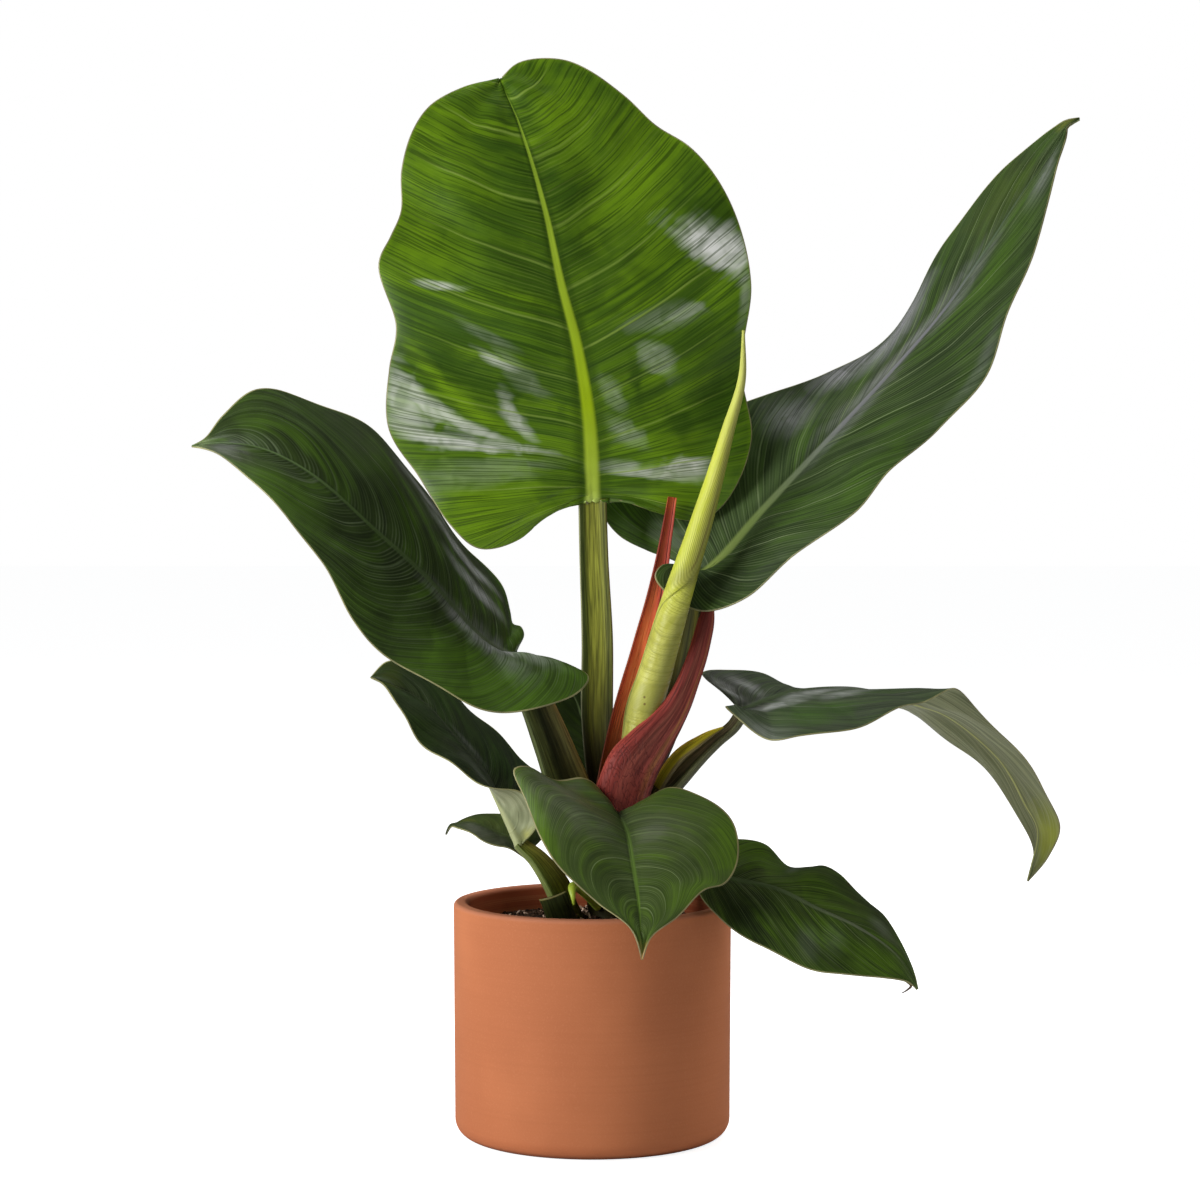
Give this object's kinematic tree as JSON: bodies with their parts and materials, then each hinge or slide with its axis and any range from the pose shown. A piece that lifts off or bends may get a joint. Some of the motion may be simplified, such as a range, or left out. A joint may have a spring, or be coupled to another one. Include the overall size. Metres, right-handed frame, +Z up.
{
  "type": "potted imperial green philodendron",
  "caption": "Young philodendron with broad glossy heart-shaped leaves on thick stalks and a rolled new leaf, in a straight terracotta pot.",
  "frame": {"origin": "centre of the pot's flat underside", "axes": "+Z up along the pot's axis, -Y towards the side the plant is seen from, +X to the right from there"},
  "size_m": [0.5461, 0.3149, 0.6682],
  "materials": {
    "terracotta": "matte",
    "soil": "matte",
    "bright_leaf": "satin",
    "dark_leaf": "satin",
    "stalk": "satin",
    "new_leaf": "satin",
    "maroon_sheath": "satin",
    "red_sheath": "satin"
  },
  "bodies": {
    "root": {"pot": "terracotta", "soil": "soil", "stem": "stalk", "leaf_upright_blade": "bright_leaf", "leaf_left_blade": "dark_leaf", "leaf_upper_right_blade": "dark_leaf", "leaf_drooping_blade": "dark_leaf", "leaf_mid_left_blade": "dark_leaf", "leaf_low_left_blade": "dark_leaf", "leaf_front_blade": "dark_leaf", "leaf_low_right_blade": "dark_leaf", "leaf_back_blade": "dark_leaf", "leaf_upright_stalk": "stalk", "leaf_left_stalk": "stalk", "leaf_upper_right_stalk": "stalk", "leaf_drooping_stalk": "stalk", "leaf_mid_left_stalk": "stalk", "leaf_low_left_stalk": "stalk", "leaf_front_stalk": "stalk", "leaf_low_right_stalk": "stalk", "leaf_back_stalk": "stalk", "rolled_new_leaf": "new_leaf", "front_sheath": "maroon_sheath", "back_sheath": "red_sheath", "old_sheath_stub": "stalk", "sprout": "new_leaf"}
  },
  "joints": []
}
